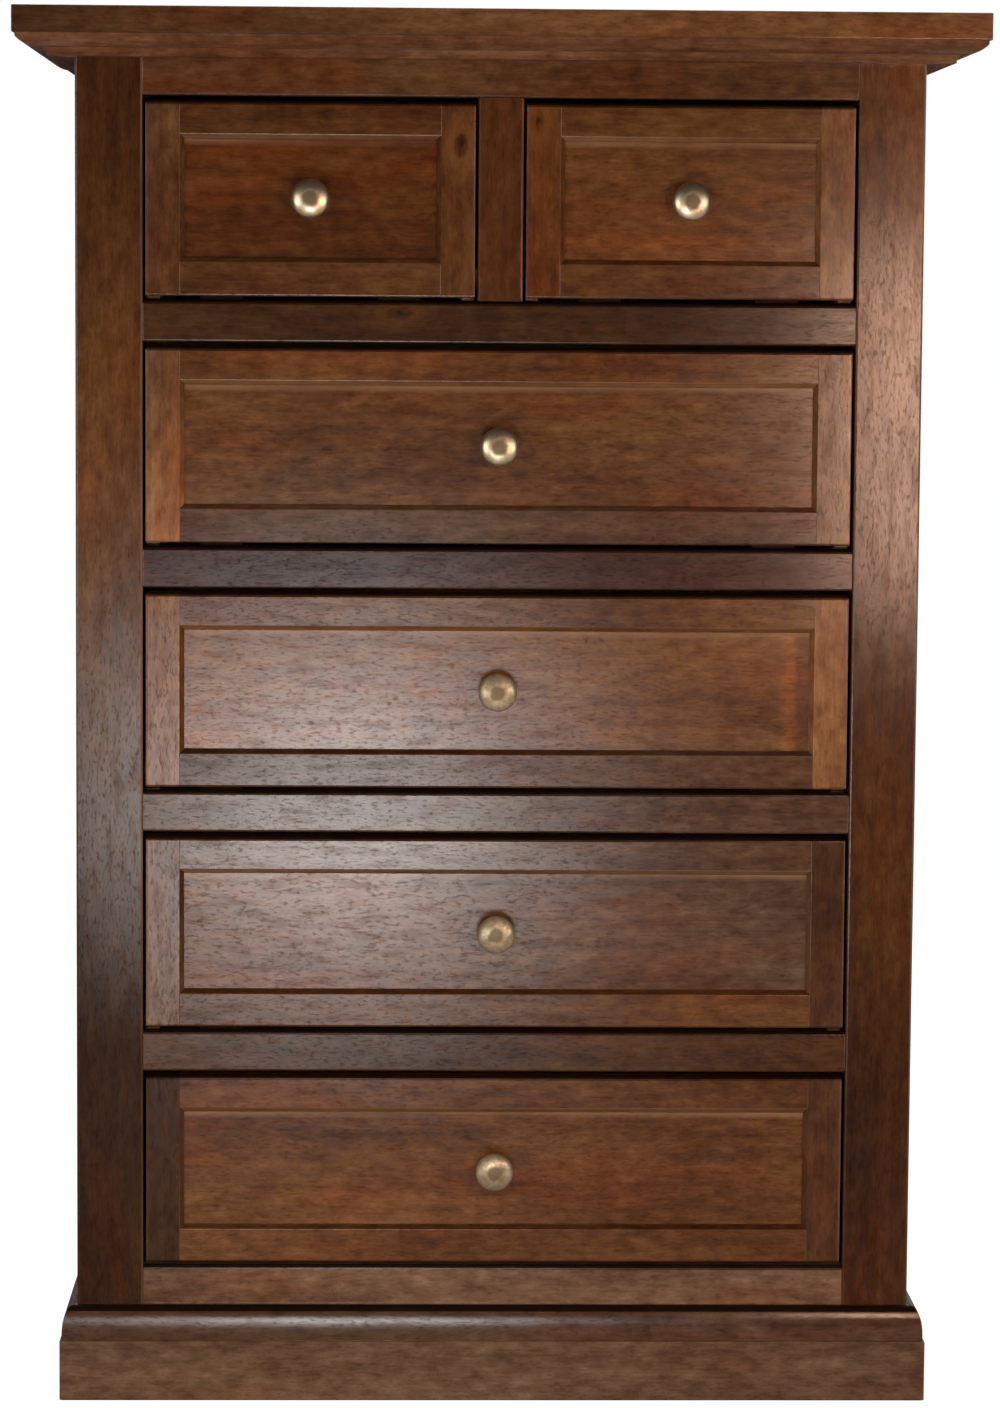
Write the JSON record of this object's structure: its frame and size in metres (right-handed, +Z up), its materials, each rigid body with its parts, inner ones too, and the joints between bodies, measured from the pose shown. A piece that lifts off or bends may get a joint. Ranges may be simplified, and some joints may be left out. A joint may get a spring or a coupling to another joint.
{
  "type": "tallboy chest of drawers",
  "caption": "Tall narrow wooden chest of drawers in a framed case with a moulded cornice and plinth: short drawers side by side over full-width ones, all with round brass knobs.",
  "frame": {"origin": "on the floor, under the middle of the top board's outline", "axes": "+Z up, the drawer fronts face -Y, +X to the right as seen from the front"},
  "size_m": [0.9, 0.45, 1.31],
  "materials": {
    "dark_stained_pine": "dark stain under a satin lacquer",
    "bare_pine": "planed and unfinished",
    "plywood": "sanded and unfinished",
    "satin_brass": "satin, aged",
    "steel_screws": "zinc plated"
  },
  "bodies": {
    "case": {"centre_muntin": "dark_stained_pine", "top_rail": "dark_stained_pine", "drawer_rail_1": "dark_stained_pine", "drawer_rail_2": "dark_stained_pine", "drawer_rail_3": "dark_stained_pine", "drawer_rail_4": "dark_stained_pine", "bottom_rail": "dark_stained_pine", "side_rails_left": "dark_stained_pine", "side_rails_right": "dark_stained_pine", "side_panels": "dark_stained_pine", "back_rails": "bare_pine", "back_panel": "plywood", "front_post_left": "dark_stained_pine", "front_post_right": "dark_stained_pine", "rear_post_left": "dark_stained_pine", "rear_post_right": "dark_stained_pine", "top_cleats": "bare_pine", "top_screws": "steel_screws", "top_board": "dark_stained_pine", "cornice_moulding": "dark_stained_pine", "plinth_moulding": "dark_stained_pine", "plinth_boards": "dark_stained_pine", "drawer_runners": "bare_pine", "drawer_stops": "bare_pine"},
    "drawer_1_left_body": {"drawer_1_left_stiles": "dark_stained_pine", "drawer_1_left_rails": "dark_stained_pine", "drawer_1_left_panel": "dark_stained_pine", "drawer_1_left_box": "bare_pine", "drawer_1_left_bottom": "plywood", "drawer_1_left_knob": "satin_brass"},
    "drawer_1_right_body": {"drawer_1_right_stiles": "dark_stained_pine", "drawer_1_right_rails": "dark_stained_pine", "drawer_1_right_panel": "dark_stained_pine", "drawer_1_right_box": "bare_pine", "drawer_1_right_bottom": "plywood", "drawer_1_right_knob": "satin_brass"},
    "drawer_2_body": {"drawer_2_stiles": "dark_stained_pine", "drawer_2_rails": "dark_stained_pine", "drawer_2_panel": "dark_stained_pine", "drawer_2_box": "bare_pine", "drawer_2_bottom": "plywood", "drawer_2_knob": "satin_brass"},
    "drawer_3_body": {"drawer_3_stiles": "dark_stained_pine", "drawer_3_rails": "dark_stained_pine", "drawer_3_panel": "dark_stained_pine", "drawer_3_box": "bare_pine", "drawer_3_bottom": "plywood", "drawer_3_knob": "satin_brass"},
    "drawer_4_body": {"drawer_4_stiles": "dark_stained_pine", "drawer_4_rails": "dark_stained_pine", "drawer_4_panel": "dark_stained_pine", "drawer_4_box": "bare_pine", "drawer_4_bottom": "plywood", "drawer_4_knob": "satin_brass"},
    "drawer_5_body": {"drawer_5_stiles": "dark_stained_pine", "drawer_5_rails": "dark_stained_pine", "drawer_5_panel": "dark_stained_pine", "drawer_5_box": "bare_pine", "drawer_5_bottom": "plywood", "drawer_5_knob": "satin_brass"}
  },
  "joints": [
    {"name": "drawer_1_left_slide", "type": "slide", "parent": "case", "child": "drawer_1_left_body", "axis": [0, -1, 0], "range_m": [0, 0.27]},
    {"name": "drawer_1_right_slide", "type": "slide", "parent": "case", "child": "drawer_1_right_body", "axis": [0, -1, 0], "range_m": [0, 0.27]},
    {"name": "drawer_2_slide", "type": "slide", "parent": "case", "child": "drawer_2_body", "axis": [0, -1, 0], "range_m": [0, 0.27]},
    {"name": "drawer_3_slide", "type": "slide", "parent": "case", "child": "drawer_3_body", "axis": [0, -1, 0], "range_m": [0, 0.27]},
    {"name": "drawer_4_slide", "type": "slide", "parent": "case", "child": "drawer_4_body", "axis": [0, -1, 0], "range_m": [0, 0.27]},
    {"name": "drawer_5_slide", "type": "slide", "parent": "case", "child": "drawer_5_body", "axis": [0, -1, 0], "range_m": [0, 0.27]}
  ]
}
